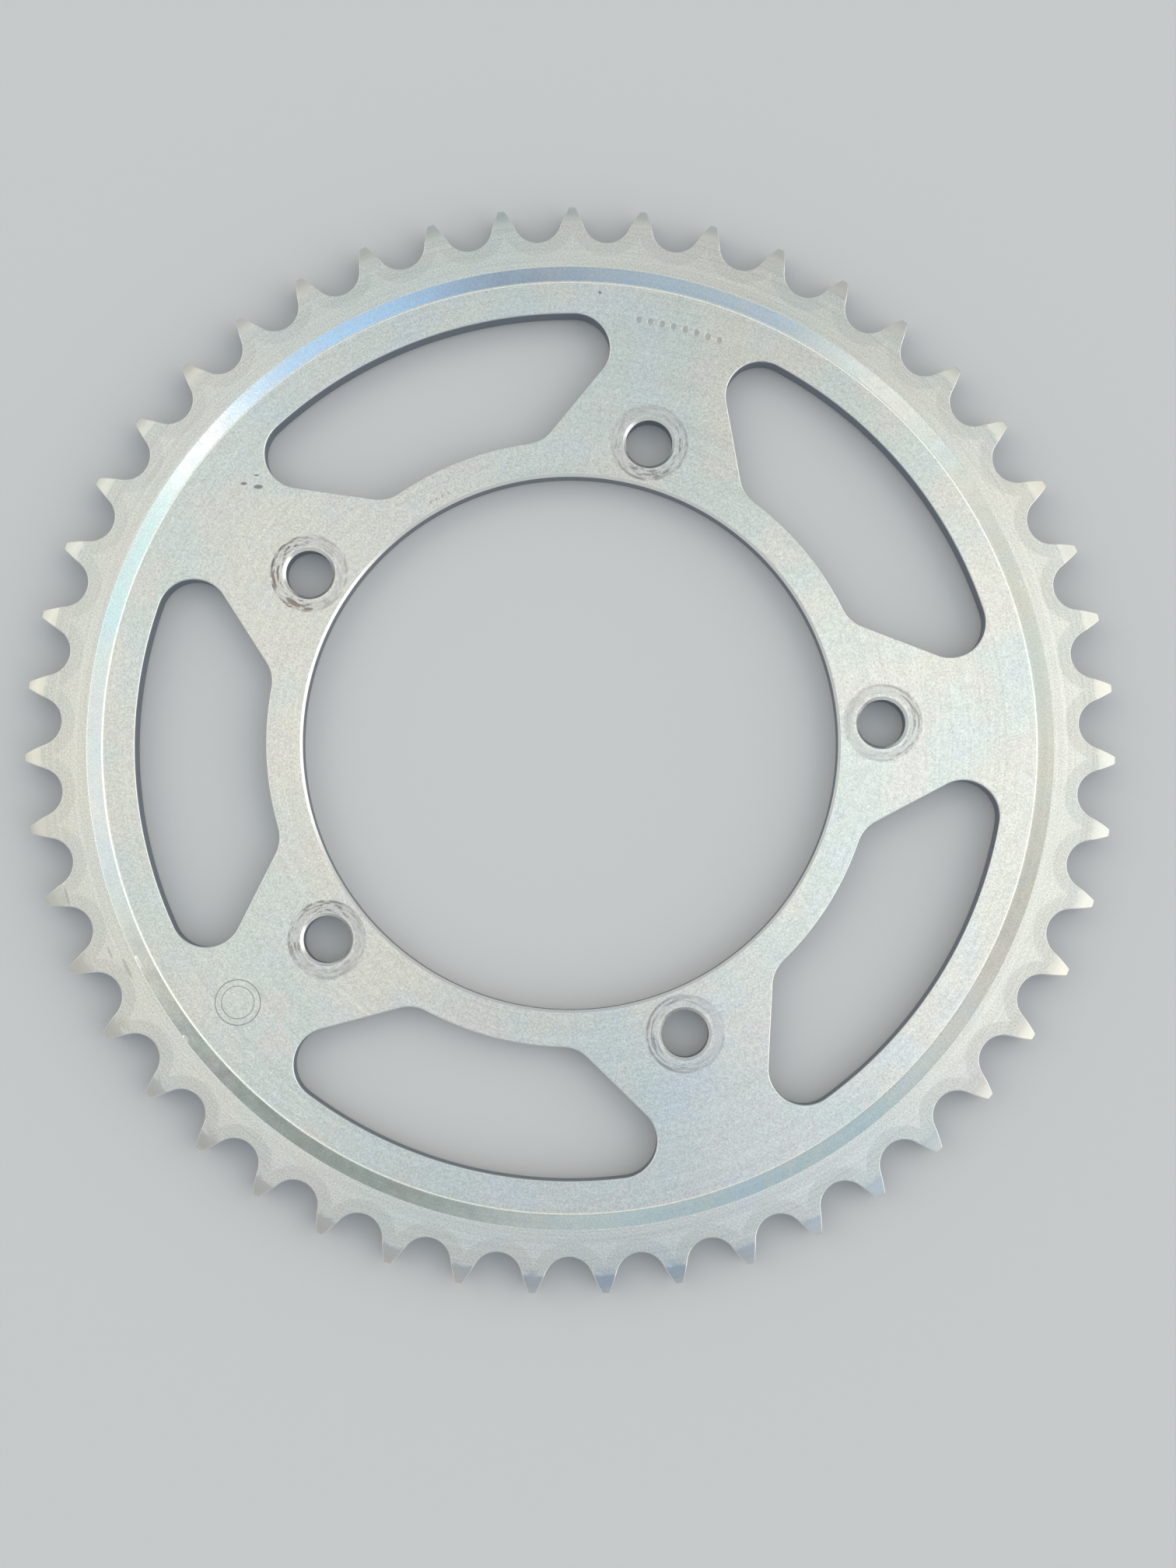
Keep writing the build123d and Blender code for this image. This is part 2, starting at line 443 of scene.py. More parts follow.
class Graph:
    """Adds nodes to one node tree. Each input that it takes is a socket to link or a plain value."""

    def __init__(self, tree):
        self.tree = tree

    def node(self, kind, inputs, **settings):
        made = self.tree.nodes.new(kind)
        for name, value in settings.items():
            setattr(made, name, value)
        for key, value in inputs.items():
            self.connect(value, made.inputs[key])
        return made

    def connect(self, value, socket):
        if isinstance(value, bpy.types.NodeSocket):
            self.tree.links.new(value, socket)
        else:
            socket.default_value = value

    def math(self, operation, *values):
        return self.node("ShaderNodeMath", dict(enumerate(values)), operation=operation).outputs[0]

    def chain(self, operation, values):
        result = values[0]
        for value in values[1:]:
            result = self.math(operation, result, value)
        return result

    def product(self, *values):
        return self.chain("MULTIPLY", values)

    def sum(self, *values):
        return self.chain("ADD", values)

    def largest(self, *values):
        return self.chain("MAXIMUM", values)

    def less(self, first, second):
        return self.math("SUBTRACT", first, second)

    def wrapped(self, value, period):
        """The value less whole periods, so that it lies within half a period of 0."""
        return self.math("WRAP", value, period / 2, -period / 2)

    def spread(self, value, low, high):
        """A value in 0 to 1 laid out from low to high."""
        return self.math("MULTIPLY_ADD", value, high - low, low)

    def fade(self, value, start, end):
        """0 at start and before, 1 at end and after; start may be the larger one."""
        inputs = {"Value": value, "From Min": start, "From Max": end}
        return self.node("ShaderNodeMapRange", inputs, interpolation_type="SMOOTHSTEP").outputs[0]

    def between(self, value, low, high, softness):
        rise = self.fade(value, low - softness, low + softness)
        return self.product(rise, self.fade(value, high + softness, high - softness))

    def vector_math(self, operation, *values):
        return self.node("ShaderNodeVectorMath", dict(enumerate(values)), operation=operation)

    def combine(self, x, y, z=0.0):
        return self.node("ShaderNodeCombineXYZ", {0: x, 1: y, 2: z}).outputs[0]

    def added(self, first, second):
        return self.vector_math("ADD", first, second).outputs[0]

    def scaled(self, vector, *factors):
        return self.vector_math("MULTIPLY", vector, factors).outputs[0]

    def length(self, x, y):
        return self.vector_math("LENGTH", self.combine(x, y)).outputs["Value"]

    def dot(self, first, second):
        return self.vector_math("DOT_PRODUCT", first, second).outputs["Value"]

    def mix(self, amount, first, second):
        inputs = {0: amount, 6: first, 7: second}
        return self.node("ShaderNodeMix", inputs, data_type="RGBA").outputs[2]

    def shade(self, colour, factor):
        """The colour times a grey factor."""
        inputs = {0: 1.0, 6: colour, 7: self.combine(factor, factor, factor)}
        return self.node("ShaderNodeMix", inputs, data_type="RGBA", blend_type="MULTIPLY").outputs[2]

    def noise(self, vector, scale=1.0, detail=2.0, roughness=0.5):
        inputs = {"Vector": vector, "Scale": scale, "Detail": detail, "Roughness": roughness}
        return self.node("ShaderNodeTexNoise", inputs).outputs[0]


# How softly the edges of round marks and of punched dots fade, as shares of their radius
SPOT_FADE = (1.15, 0.75)
DOT_FADE = (1.15, 0.8)
# The edge between the upper half and the lower half, and that at the ends of a row of dots, in mm
HALF_SOFTNESS = 0.1
ROW_SOFTNESS = 0.01


class PlatePlaces:
    """Where a point lies about the bore, the nearest bolt hole and the nearest gap, in mm and radians."""

    def __init__(self, graph):
        self.graph = graph
        coordinates = graph.node("ShaderNodeTexCoord", {}).outputs["Object"]
        self.position = graph.scaled(coordinates, 1 / MM, 1 / MM, 1 / MM)
        self.x, self.y, self.z = graph.node("ShaderNodeSeparateXYZ", {0: self.position}).outputs
        self.flat = graph.combine(self.x, self.y)
        self.radius = graph.length(self.x, self.y)
        self.angle = graph.math("ARCTAN2", self.y, self.x)
        self.upper = graph.fade(self.z, 0.0, HALF_SOFTNESS)
        self.hole_distance, self.hole_angle = self.about(BOLT_STEP, BOLT_CIRCLE_DIA / 2)
        self.gap_distance, _ = self.about(TOOTH_STEP, SEAT_CENTRE_RADIUS)

    def on_circle(self, radius, angle):
        x = self.graph.product(self.graph.math("COSINE", angle), radius)
        y = self.graph.product(self.graph.math("SINE", angle), radius)
        return x, y

    def about(self, step, circle_radius):
        """Distance and angle from the nearest of the centres that repeat every step round a circle."""
        graph = self.graph
        x, y = self.on_circle(self.radius, graph.wrapped(self.angle, step))
        x = graph.less(x, circle_radius)
        return graph.length(x, y), graph.math("ARCTAN2", y, x)

    def from_point(self, x, y):
        """Distance from one point of the plate, seen along the bore."""
        return self.graph.vector_math("DISTANCE", self.flat, (x, y, 0.0)).outputs["Value"]

    def turn_from(self, angle_degrees):
        turn = self.graph.less(self.angle, math.radians(angle_degrees))
        return self.graph.wrapped(turn, 2 * math.pi)

    def along_turning(self, across, along):
        """Coordinates for a pattern drawn out along the turning marks: across is per mm, along per radian."""
        graph = self.graph
        x, y = self.on_circle(along, self.angle)
        round_plate = graph.combine(graph.product(self.radius, across), x, y)
        return graph.added(round_plate, graph.combine(0.0, 0.0, self.z))

    def spot(self, along, across):
        """1 inside a unit circle of two coordinates and 0 outside it, on the upper half only."""
        distance = self.graph.length(along, across)
        return self.graph.product(self.graph.fade(distance, *SPOT_FADE), self.upper)

    def streak(self, radius, angle_degrees, width, length):
        """1 inside a spot drawn out round the plate, 0 outside it."""
        along = self.graph.product(self.turn_from(angle_degrees), 2 * radius / length)
        across = self.graph.product(self.graph.less(self.radius, radius), 2 / width)
        return self.spot(along, across)

    def oval(self, radius, angle_degrees, width, length, direction_degrees):
        """1 inside an oval whose long axis has a set direction, 0 outside it."""
        centre = polar(radius, math.radians(angle_degrees))
        offset = self.graph.added(self.flat, (*-centre, 0.0))
        long_axis = (*polar(2 / length, math.radians(direction_degrees)), 0.0)
        short_axis = (*polar(2 / width, math.radians(direction_degrees + 90)), 0.0)
        return self.spot(self.graph.dot(offset, long_axis), self.graph.dot(offset, short_axis))

    def ring(self, radius, angle_degrees, inner_radius, outer_radius, softness):
        """1 on a ring about one point of the upper face, 0 elsewhere."""
        distance = self.from_point(*polar(radius, math.radians(angle_degrees)))
        ring = self.graph.between(distance, inner_radius, outer_radius, softness)
        return self.graph.product(ring, self.upper)

    def row_of_dots(self, radius, angle_degrees, count, pitch, dot_radius):
        """1 in each of a row of dots on an arc, centred on an angle and pitch mm apart."""
        graph = self.graph
        along = graph.product(self.turn_from(angle_degrees), radius)
        half_row = pitch * count / 2
        within = graph.fade(graph.math("ABSOLUTE", along), half_row, half_row - ROW_SOFTNESS)
        shift = 0.0 if count % 2 else pitch / 2
        from_dot = graph.wrapped(graph.sum(along, shift), pitch)
        distance = graph.length(from_dot, graph.less(self.radius, radius))
        start, end = DOT_FADE
        dots = graph.fade(distance, dot_radius * start, dot_radius * end)
        return graph.product(dots, within, self.upper)


# ---------------------------------------------------------------- where each surface and each mark is

# The mesh's "wall" value runs from 0 on a face to 1 on a wall, over the edge between them
WALL_RISE = (0.8, 1.0)
EDGE_RISE = (0.02, 0.3)
EDGE_FALL = (0.98, 0.8)

# The sloped step, whose foot fillet reaches a little way into the web, then the relief of the tips, in mm
BAND_REACH = 0.35
BAND_SOFTNESS = 0.12
RELIEF_RISE = (RELIEF_START_RADIUS - 0.05, RELIEF_START_RADIUS + 0.1)
RIM_RISE = (STEP_OUTER_RADIUS, STEP_OUTER_RADIUS + 0.4)

# A greyer, darker scallop round each gap: its reach from the seat's centre, and its inner limit
SCALLOP_FALL = (8.8, 8.3)
SCALLOP_RISE = (STEP_OUTER_RADIUS, STEP_OUTER_RADIUS + 1.5)

# The fine line that the lathe tool left round the web: its inner and outer radius, and softness
TOOL_LINE = (97.45, 97.75, 0.08)

# Marks on the upper face: radius in mm, angle in degrees, then width and length in mm
NICKS = [(94.0, -5.6, 0.7, 1.5), (91.0, -6.5, 1.0, 2.2), (93.0, -7.6, 0.35, 1.3), (102.5, -61.0, 0.7, 0.7)]
NICK_DIRECTION = 32.7
SCRATCHES = [(117.0, 50.0, 0.5, 4.5), (110.5, 60.0, 0.9, 5.0), (112.4, 57.5, 0.5, 3.0)]
DINGS = [(107.6, 60.0, 0.7, 3.2), (107.7, 70.6, 0.6, 1.8), (107.4, -128.0, 0.3, 2.2)]
# Rust-brown rests of grease by the first hole, with the direction of their long axis too
SMUDGES = [
    (69.8, 6.15, 1.2, 4.0, 177.7),
    (66.0, 5.9, 0.6, 2.2, 32.7),
    (76.1, 4.1, 0.7, 4.4, -42.3),
    (75.8, 3.1, 0.5, 3.4, -52.0),
]
# Plain rows of dots where codes would be punched: radius, angle, number of dots, their pitch and radius
DOT_ROWS = [(97.3, -72.0, 8, 2.7, 0.75), (62.6, -29.0, 4, 1.5, 0.32)]
# A plain double ring, fine and grey: radius, angle, each ring's inner and outer radius, and softness
ETCHED_RINGS = [(94.0, 71.0, 4.9, 5.15, 0.06), (94.0, 71.0, 3.5, 3.7, 0.06)]

# What the nuts' flanges left on the face, in mm: a ring whose sides wander, and a thin line at its rim
WASHER_RADIUS = 8.7
WASHER_INNER_RADIUS = BOLT_HOLE_DIA / 2 + 1.1
WASHER_SOFTNESS = 0.35
WASHER_WANDER = 0.9
WASHER_RIM = (WASHER_RADIUS - 0.45, WASHER_RADIUS + 0.05, 0.12)
# Distances from the hole, and from the rim's dirtiest point, over which the marks come in
WASHER_FALL = (12.0, 11.0)
DIRTY_SIDE_FALL = (14.0, 7.0)
# How strongly each bolt hole's washer has marked the face, and the direction of its dirtier side in degrees
WASHER_MARKS = [(1.0, 38.0), (0.75, -20.0), (0.6, 40.0), (0.6, -150.0), (0.65, 150.0)]
# How much of the dirt lies all round, and how much on the dirtier side
DIRT_ALL_ROUND = 0.35
DIRT_ON_SIDE = 0.65
# The arcs' pattern: how often it changes per radian round the hole, per mm outwards, and per mm over all
ARCS_ROUND = 2.2
ARCS_OUTWARD = 1.9
ARCS_DRIFT = 0.16
# Their noises: scale, detail, roughness
ARCS_NOISE = (1.0, 3.0, 0.65)
RIM_NOISE = (0.28, 4.0, 0.6)
WANDER_NOISE = (0.22, 2.0, 0.5)
# Which values of those noises come out dark or bright
ARCS_DARK = (0.52, 0.61)
ARCS_BRIGHT = (0.45, 0.36)
RIM_DARK = (0.40, 0.56)


def regions(graph, places):
    """Masks of the plate's own parts."""
    turned_to_wall = graph.node("ShaderNodeAttribute", {}, attribute_name="wall").outputs["Fac"]
    band = graph.between(places.radius, STEP_INNER_RADIUS - BAND_REACH, STEP_OUTER_RADIUS, BAND_SOFTNESS)
    near_gap = graph.fade(places.gap_distance, *SCALLOP_FALL)
    return {
        "wall": graph.fade(turned_to_wall, *WALL_RISE),
        "edge": graph.product(graph.fade(turned_to_wall, *EDGE_RISE), graph.fade(turned_to_wall, *EDGE_FALL)),
        "band": band,
        "relief": graph.fade(places.radius, *RELIEF_RISE),
        "rim": graph.fade(places.radius, *RIM_RISE),
        "gap_scallops": graph.product(near_gap, graph.fade(places.radius, *SCALLOP_RISE)),
        "tool_line": graph.product(graph.between(places.radius, *TOOL_LINE), places.upper),
    }


def small_marks(graph, places):
    """Masks of the nicks, scratches and other single marks."""
    return {
        "nicks": graph.largest(*[places.oval(*nick, NICK_DIRECTION) for nick in NICKS]),
        "scratches": graph.largest(*[places.streak(*scratch) for scratch in SCRATCHES]),
        "dings": graph.largest(*[places.streak(*ding) for ding in DINGS]),
        "smudges": graph.largest(*[places.oval(*smudge) for smudge in SMUDGES]),
        "dots": graph.largest(*[places.row_of_dots(*row) for row in DOT_ROWS]),
        "etched": graph.largest(*[places.ring(*ring) for ring in ETCHED_RINGS]),
    }


def washer_strengths(graph, places):
    """How strongly the nearest hole's washer marked the face, and the same on its dirtier side only."""
    all_round = []
    on_side = []
    for centre, (strength, side) in zip(hole_centres(), WASHER_MARKS):
        side_point = centre + polar(WASHER_RADIUS, math.radians(side))
        near_hole = graph.fade(places.from_point(*centre), *WASHER_FALL)
        near_side = graph.fade(places.from_point(*side_point), *DIRTY_SIDE_FALL)
        all_round.append(graph.product(near_hole, strength))
        on_side.append(graph.product(near_hole, near_side, strength))
    return graph.sum(*all_round), graph.sum(*on_side)


def washer_arcs(graph, places):
    """A pattern of arcs round each hole."""
    x, y = places.on_circle(ARCS_ROUND, places.hole_angle)
    around = graph.combine(x, y, graph.product(places.hole_distance, ARCS_OUTWARD))
    drift = graph.scaled(places.position, ARCS_DRIFT, ARCS_DRIFT, ARCS_DRIFT)
    return graph.noise(graph.added(around, drift), *ARCS_NOISE)


def washer_marks(graph, places):
    """Masks of what the nuts' flanges left on the face: a rubbed ring, with dark and bright arcs in it."""
    all_round, on_side = washer_strengths(graph, places)
    arcs = washer_arcs(graph, places)
    wander = graph.spread(graph.noise(places.position, *WANDER_NOISE), -WASHER_WANDER, WASHER_WANDER)
    distance = graph.sum(places.hole_distance, wander)
    ring = graph.between(distance, WASHER_INNER_RADIUS, WASHER_RADIUS, WASHER_SOFTNESS)
    rim = graph.between(places.hole_distance, *WASHER_RIM)
    dark_arcs = graph.product(ring, graph.fade(arcs, *ARCS_DARK))
    dark_rim = graph.product(rim, graph.fade(graph.noise(places.position, *RIM_NOISE), *RIM_DARK))
    dirtiness = graph.sum(graph.product(all_round, DIRT_ALL_ROUND), graph.product(on_side, DIRT_ON_SIDE))
    return {
        "rubbed": graph.product(ring, all_round, places.upper),
        "dirt": graph.product(graph.largest(dark_arcs, dark_rim), dirtiness, places.upper),
        "burnished": graph.product(ring, graph.fade(arcs, *ARCS_BRIGHT), all_round, places.upper),
    }


# ---------------------------------------------------------------- zinc-plated steel

GREENISH_ZINC = (0.75, 0.795, 0.745, 1)
CREAM_ZINC = (0.83, 0.81, 0.73, 1)
BLUISH_ZINC = (0.74, 0.785, 0.82, 1)
PINKISH_ZINC = (0.82, 0.78, 0.735, 1)
RUBBED_ZINC = (0.66, 0.63, 0.61, 1)
# The next colour is painted shade: the cut walls' dark bluish grey stands in for the shade that they lie in
WALL_PAINTED_SHADE = (0.20, 0.23, 0.28, 1)
# The next colour is bright zinc where the washers burnished the face and at the dings, and a painted
# highlight along the rounded edges and chamfers
BRIGHT_WEAR_AND_EDGE_HIGHLIGHT = (0.93, 0.93, 0.91, 1)
DIRT = (0.22, 0.19, 0.17, 1)
GREASE = (0.34, 0.27, 0.22, 1)
DARK_MARK = (0.24, 0.24, 0.23, 1)
ETCHED = (0.30, 0.30, 0.29, 1)
PUNCHED = (0.44, 0.38, 0.34, 1)

# Noise patterns: scale per mm, detail, roughness
BROAD_TINTS = (0.022, 3.0, 0.5)
SMALL_TINTS = (0.07, 3.0, 0.6)
GRAIN = (2.5, 3.0, 0.75)
POLISH = (0.35, 4.0, 0.5)
NOISE_MIDDLE = 0.5
# Turned patterns: how often they change per mm outwards and per radian round the plate, then their detail
TOOL_LINES = (2.8, 2.0)
TOOL_LINES_DETAIL = 1.0
TOOL_BANDS = (0.8, 1.2)
TOOL_BANDS_DETAIL = 2.0
# The cut walls' pattern, drawn out along the bore: scale per mm along x, y and z
CUT_SCALES = (2.2, 2.2, 0.25)
CUT_DETAIL = 3.0

# Which part of each tint noise shows its tint, and how strongly
CREAM_RISE = (0.42, 0.58)
BLUISH_RISE = (0.5, 0.66)
BLUISH_STRENGTH = 0.45
PINKISH_RISE = (0.48, 0.36)
PINKISH_STRENGTH = 0.6
# How creamy the rim is, outside and inside the scallops round the gaps
RIM_CREAM = 0.55
SCALLOP_CREAM = 0.38

# Brightness: the grain's and the lines' contrast, the broad bands' range, and shades of single parts
GRAIN_CONTRAST = 0.60
WEB_LINE_CONTRAST = 0.16
RIM_LINE_CONTRAST = 0.26
BAND_BRIGHTNESS = (0.94, 1.06)
SCALLOP_BRIGHTNESS = 0.92
TOOL_LINE_BRIGHTNESS = 0.93
# How much of the grain and lines the sloped step keeps, and how much of them the relief loses
STEP_GRAIN = 0.5
RELIEF_GRAIN_LOSS = 0.8
# How strongly the smudges show, from the lowest to the highest grain
SMUDGE_STRENGTH = (0.6, 1.2)

# What lies over the plating, from the bottom up, then painted wall shade and edge highlight: the mask, how
# strongly it covers, and its colour
COLOUR_LAYERS = [
    ("rubbed", 0.55, RUBBED_ZINC),
    ("burnished", 0.6, BRIGHT_WEAR_AND_EDGE_HIGHLIGHT),
    ("dirt", 0.85, DIRT),
    ("grainy_smudges", 1.0, GREASE),
    ("nicks", 0.85, DARK_MARK),
    ("scratches", 0.35, DARK_MARK),
    ("dots", 0.5, PUNCHED),
    ("etched", 0.8, ETCHED),
    ("dings", 1.0, BRIGHT_WEAR_AND_EDGE_HIGHLIGHT),
    # Painted shade over the walls
    ("wall", 0.9, WALL_PAINTED_SHADE),
    # Painted highlight along the rounded edges and chamfers
    ("edge", 0.8, BRIGHT_WEAR_AND_EDGE_HIGHLIGHT),
]

# Roughness of the plating, and what each mask adds to it
PLATING_ROUGHNESS = (0.24, 0.40)
ROUGHNESS_CHANGES = [
    ("band", -0.17),
    ("relief", -0.08),
    ("rubbed_or_wall", 0.12),
    ("dirt", 0.2),
    ("edge", -0.08),
    ("gap_scallops", 0.05),
]

# Heights in mm: of the grain, lines and cut walls, and how deep each mark is
GRAIN_HEIGHT = 0.018
LINE_HEIGHT = 0.03
CUT_HEIGHT = 0.035
MARK_DEPTHS = [("dots", 0.12), ("nicks_or_dings", 0.06), ("washer_arcs", 0.03)]

BUMP_STRENGTH = 0.6
ANISOTROPY = 0.6
# A quarter turn, so that highlights are drawn out across the turning marks
ANISOTROPY_TURN = 0.25


def patterns(graph, places, masks):
    """Grain of the plating and marks of the lathe tool, which are clearest on the rim."""
    lines = graph.noise(places.along_turning(*TOOL_LINES), detail=TOOL_LINES_DETAIL)
    bands = graph.noise(places.along_turning(*TOOL_BANDS), detail=TOOL_BANDS_DETAIL)
    on_step = graph.spread(masks["band"], 1.0, STEP_GRAIN)
    return {
        "grain": graph.noise(places.position, *GRAIN),
        "lines": lines,
        "bands": bands,
        "line_contrast": graph.spread(masks["rim"], WEB_LINE_CONTRAST, RIM_LINE_CONTRAST),
        "clearness": graph.less(on_step, graph.product(masks["relief"], RELIEF_GRAIN_LOSS)),
        "cut": graph.noise(graph.scaled(places.position, *CUT_SCALES), detail=CUT_DETAIL),
    }


def passivated_colour(graph, places):
    """Thin colours of the clear passivation over the zinc, in broad soft patches."""
    broad = graph.noise(places.position, *BROAD_TINTS)
    small = graph.noise(places.position, *SMALL_TINTS)
    bluish = graph.product(graph.fade(small, *BLUISH_RISE), BLUISH_STRENGTH)
    pinkish = graph.product(graph.fade(small, *PINKISH_RISE), PINKISH_STRENGTH)
    colour = graph.mix(graph.fade(broad, *CREAM_RISE), GREENISH_ZINC, CREAM_ZINC)
    colour = graph.mix(bluish, colour, BLUISH_ZINC)
    return graph.mix(pinkish, colour, PINKISH_ZINC)


def plating_brightness(graph, finish):
    """Brightness of the grain, the fine lines and the broad bands together."""
    grain = graph.spread(finish["grain"], -GRAIN_CONTRAST, GRAIN_CONTRAST)
    lines = graph.product(graph.less(finish["lines"], NOISE_MIDDLE), finish["line_contrast"])
    fine = graph.product(graph.sum(grain, lines), finish["clearness"])
    return graph.sum(fine, graph.spread(finish["bands"], *BAND_BRIGHTNESS))


def surface_colour(graph, places, masks, finish):
    """Plating greyer in the gap scallops, creamier on the rim; marks, painted wall shade and painted edge
    highlight over it.
    """
    creamy = graph.product(masks["rim"], graph.spread(masks["gap_scallops"], RIM_CREAM, SCALLOP_CREAM))
    colour = graph.mix(creamy, passivated_colour(graph, places), CREAM_ZINC)
    colour = graph.shade(colour, plating_brightness(graph, finish))
    colour = graph.shade(colour, graph.spread(masks["gap_scallops"], 1.0, SCALLOP_BRIGHTNESS))
    colour = graph.shade(colour, graph.spread(masks["tool_line"], 1.0, TOOL_LINE_BRIGHTNESS))
    for name, strength, layer_colour in COLOUR_LAYERS:
        colour = graph.mix(graph.product(masks[name], strength), colour, layer_colour)
    return colour


def surface_roughness(graph, places, masks):
    roughness = graph.spread(graph.noise(places.position, *POLISH), *PLATING_ROUGHNESS)
    changes = [graph.product(masks[name], change) for name, change in ROUGHNESS_CHANGES]
    return graph.sum(roughness, *changes)


def surface_height(graph, masks, finish):
    """Height of the fine relief, in mm."""
    grain = graph.product(finish["grain"], GRAIN_HEIGHT)
    lines = graph.product(finish["lines"], finish["line_contrast"], LINE_HEIGHT)
    plating = graph.product(graph.sum(grain, lines), finish["clearness"])
    cut = graph.product(finish["cut"], masks["wall"], CUT_HEIGHT)
    depths = [graph.product(masks[name], -depth) for name, depth in MARK_DEPTHS]
    return graph.sum(plating, cut, *depths)


def zinc_material():
    material = bpy.data.materials.new("zinc_plated_steel")
    material.use_nodes = True
    graph = Graph(material.node_tree)
    places = PlatePlaces(graph)
    masks = {**regions(graph, places), **small_marks(graph, places), **washer_marks(graph, places)}
    finish = patterns(graph, places, masks)
    smudge_strength = graph.spread(finish["grain"], *SMUDGE_STRENGTH)
    masks["grainy_smudges"] = graph.product(masks["smudges"], smudge_strength)
    masks["rubbed_or_wall"] = graph.largest(masks["rubbed"], masks["wall"])
    masks["nicks_or_dings"] = graph.largest(masks["nicks"], masks["dings"])
    masks["washer_arcs"] = graph.largest(masks["dirt"], masks["burnished"])
    height = surface_height(graph, masks, finish)
    bump = graph.node("ShaderNodeBump", {"Strength": BUMP_STRENGTH, "Distance": MM, "Height": height})
    tangent = graph.node("ShaderNodeTangent", {}, direction_type="RADIAL", axis="Z")
    shader = material.node_tree.nodes["Principled BSDF"]
    shader.inputs["Metallic"].default_value = 1.0
    shader.inputs["Anisotropic"].default_value = ANISOTROPY
    shader.inputs["Anisotropic Rotation"].default_value = ANISOTROPY_TURN
    graph.connect(surface_colour(graph, places, masks, finish), shader.inputs["Base Color"])
    graph.connect(surface_roughness(graph, places, masks), shader.inputs["Roughness"])
    graph.connect(bump.outputs[0], shader.inputs["Normal"])
    graph.connect(tangent.outputs[0], shader.inputs["Tangent"])
    return material


plate.data.materials.append(zinc_material())


# ---------------------------------------------------------------- floor and light

FLOOR_SIZE = 6.0
FLOOR_GAP = 0.0001
FLOOR_COLOUR = (0.74, 0.74, 0.73, 1)
FLOOR_ROUGHNESS = 0.8

# Soft panels of light: azimuth, tilt from straight up, radius and softness in degrees, then colour
PANELS = {
    "overhead": (0, 0, 8, 12, (0.72, 0.73, 0.72)),
    "far_upper_right": (-112, 37, 12, 5, (1.30, 1.30, 1.26)),
    "far_upper": (-62, 38, 12, 5, (1.00, 1.01, 1.00)),
    "far_upper_left": (-17, 38, 12, 5, (1.00, 1.00, 0.97)),
    "upper_shade": (-83, 25, 9, 6, (0.32, 0.36, 0.36)),
    "upper_blue": (-39, 24, 7, 6, (0.42, 0.57, 0.68)),
    "far_shade": (-54, 62, 17, 8, (0.42, 0.51, 0.56)),
    "left_panel": (13, 49, 17, 7, (1.22, 1.23, 1.15)),
    "left_low": (28, 20, 6, 5, (0.84, 0.87, 0.82)),
    "lower_left": (69, 17, 4, 5, (1.10, 1.13, 1.10)),
    "lower_shade": (85, 46, 12, 8, (0.46, 0.47, 0.50)),
    "lower_blue": (126, 24, 12, 7, (0.30, 0.38, 0.53)),
    "lower_pale": (99, 15, 4, 4, (0.48, 0.62, 0.78)),
    "lower_dusk": (129, 43, 12, 6, (0.29, 0.38, 0.53)),
    "far_blue": (160, 46, 8, 5, (0.63, 0.81, 1.10)),
    "right_panel": (-152, 67, 34, 6, (1.40, 1.40, 1.36)),
    "right_upper": (-115, 57, 12, 7, (1.10, 1.08, 0.98)),
    "right_low": (-137, 20, 6, 4, (0.85, 0.95, 1.02)),
    "window": (-175, 16.5, 3.5, 2.5, (1.90, 1.94, 1.98)),
    "cyan": (-156, 19, 3, 2, (0.85, 1.22, 1.28)),
    "pale_blue": (160, 18, 4, 4, (0.52, 0.84, 1.30)),
    "lamp": (-109, 10.5, 6, 2.5, (1.80, 1.80, 1.76)),
}
# A long thin tube of light. Distances are sines of the angle from straight up.
TUBE_AZIMUTH = -137.3
TUBE_OFFSET = 0.087
TUBE_HALF_WIDTH = 0.020
TUBE_SOFTNESS = 0.010
TUBE_ENDS = (-0.12, 0.25)
TUBE_END_SOFTNESS = 0.05
ABOVE_HORIZON = (0.0, 0.2)
TUBE_COLOUR = (1.42, 1.42, 1.39, 1)
ROOM_COLOUR = (0.56, 0.57, 0.57, 1)


def floor():
    half = FLOOR_SIZE / 2
    level = cad_box[0].z - FLOOR_GAP
    mesh = bpy.data.meshes.new("floor")
    corners = [(-half, -half, level), (half, -half, level), (half, half, level), (-half, half, level)]
    mesh.from_pydata(corners, [], [(0, 1, 2, 3)])
    obj = bpy.data.objects.new("floor", mesh)
    bpy.context.scene.collection.objects.link(obj)
    paint = bpy.data.materials.new("floor")
    paint.use_nodes = True
    shader = paint.node_tree.nodes["Principled BSDF"]
    shader.inputs["Base Color"].default_value = FLOOR_COLOUR
    shader.inputs["Roughness"].default_value = FLOOR_ROUGHNESS
    mesh.materials.append(paint)


def panel(graph, direction, azimuth, tilt, radius, softness):
    """1 where one panel is seen, 0 elsewhere."""
    flat = polar(math.sin(math.radians(tilt)), math.radians(azimuth))
    towards = (*flat, math.cos(math.radians(tilt)))
    outer = math.cos(math.radians(radius + softness))
    inner = math.cos(math.radians(max(radius - softness, 0)))
    return graph.fade(graph.dot(direction, towards), outer, inner)


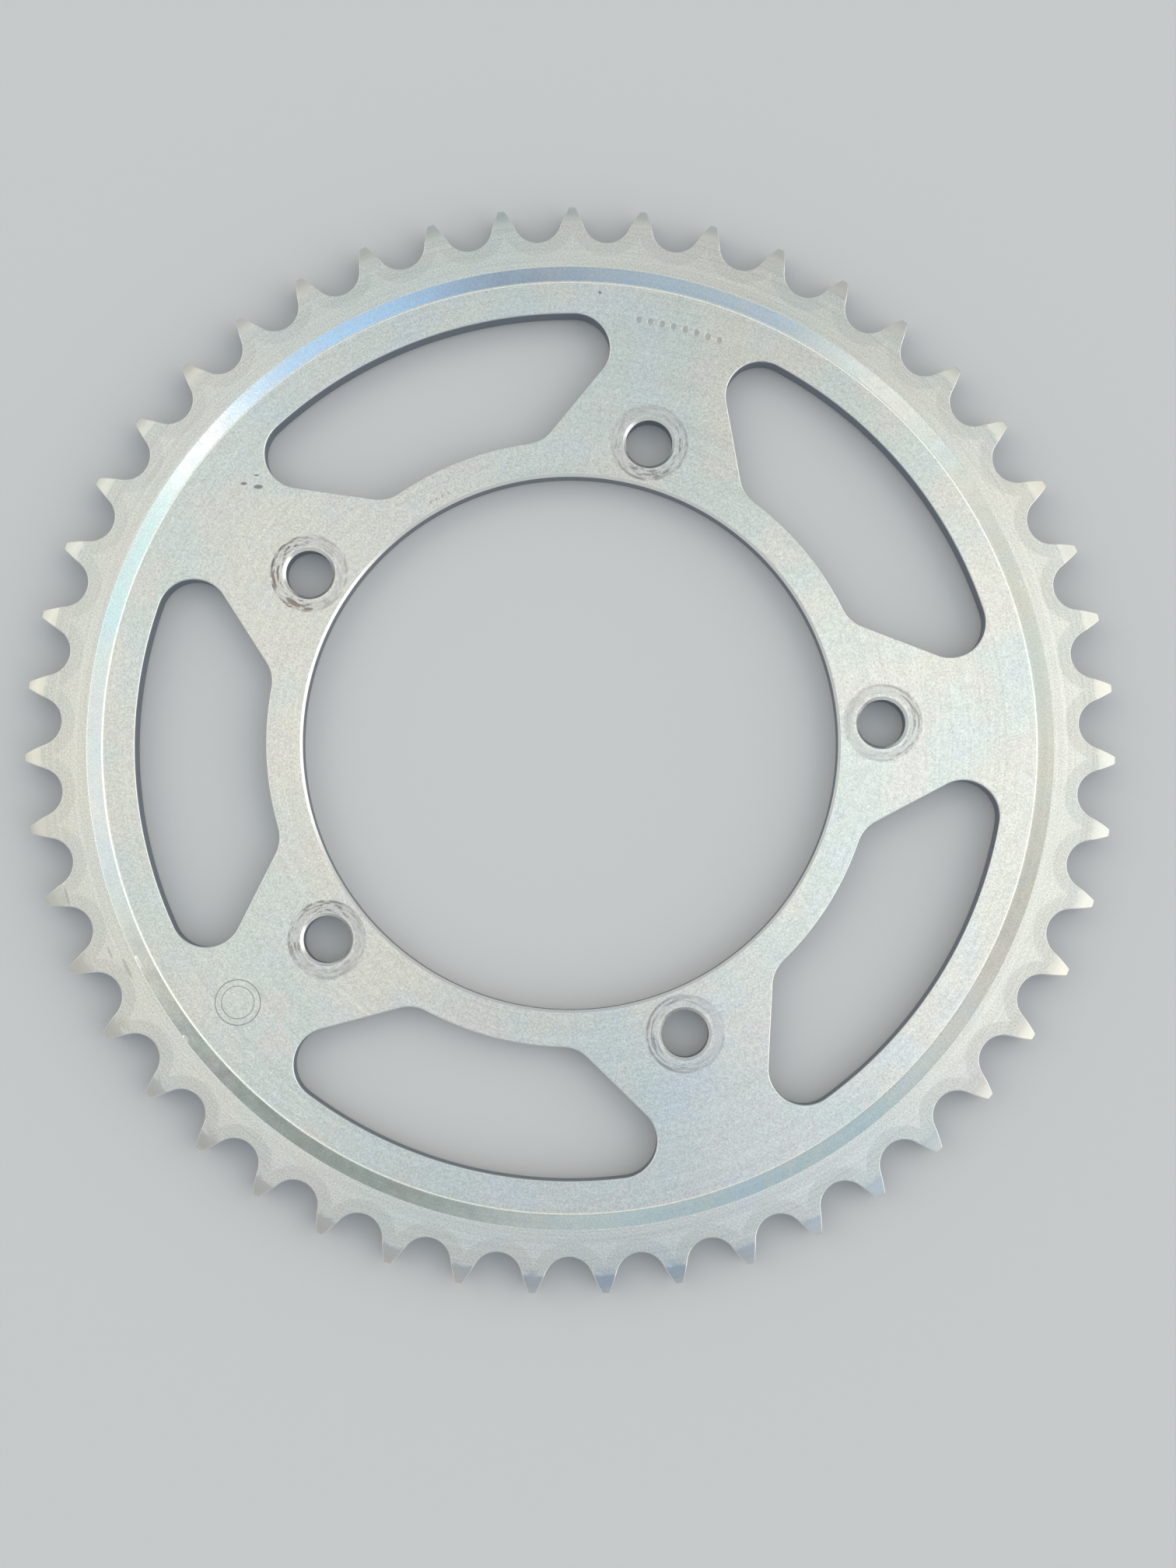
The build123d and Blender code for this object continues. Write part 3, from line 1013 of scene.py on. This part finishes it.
def tube(graph, direction):
    """1 where the tube of light is seen, 0 elsewhere."""
    along = graph.dot(direction, (*polar(1.0, math.radians(TUBE_AZIMUTH)), 0.0))
    across = graph.dot(direction, (*polar(1.0, math.radians(TUBE_AZIMUTH + 90)), 0.0))
    low = TUBE_OFFSET - TUBE_HALF_WIDTH
    high = TUBE_OFFSET + TUBE_HALF_WIDTH
    height = graph.node("ShaderNodeSeparateXYZ", {0: direction}).outputs["Z"]
    return graph.product(
        graph.between(across, low, high, TUBE_SOFTNESS),
        graph.between(along, *TUBE_ENDS, TUBE_END_SOFTNESS),
        graph.fade(height, *ABOVE_HORIZON),
    )


def studio_light():
    world = bpy.data.worlds.new("studio")
    world.use_nodes = True
    graph = Graph(world.node_tree)
    direction = graph.node("ShaderNodeTexCoord", {}).outputs["Generated"]
    colour = ROOM_COLOUR
    for azimuth, tilt, radius, softness, light in PANELS.values():
        colour = graph.mix(panel(graph, direction, azimuth, tilt, radius, softness), colour, (*light, 1))
    colour = graph.mix(tube(graph, direction), colour, TUBE_COLOUR)
    graph.connect(colour, world.node_tree.nodes["Background"].inputs["Color"])
    bpy.context.scene.world = world


floor()
studio_light()


# ---------------------------------------------------------------- camera

CAMERA_POSITION = Vector((-0.02207, 0.02977, 0.42143))
CAMERA_TARGET = Vector((-0.00844, 0.00592, 0.0))
CAMERA_UP = Vector((0.5391, -0.8397, 0.065))
CAMERA_LENS = 43.115
CAMERA_SENSOR = 36.0
CAMERA_CLIP_START = 0.01


def camera():
    data = bpy.data.cameras.new("camera")
    data.lens = CAMERA_LENS
    data.sensor_width = CAMERA_SENSOR
    data.clip_start = CAMERA_CLIP_START
    back = (CAMERA_POSITION - CAMERA_TARGET).normalized()
    right = CAMERA_UP.cross(back).normalized()
    up = back.cross(right)
    turn = Matrix((right, up, back)).transposed().to_4x4()
    obj = bpy.data.objects.new("camera", data)
    obj.matrix_world = Matrix.Translation(CAMERA_POSITION) @ turn
    bpy.context.scene.collection.objects.link(obj)
    bpy.context.scene.camera = obj


camera()
bpy.context.scene.view_settings.view_transform = "Standard"
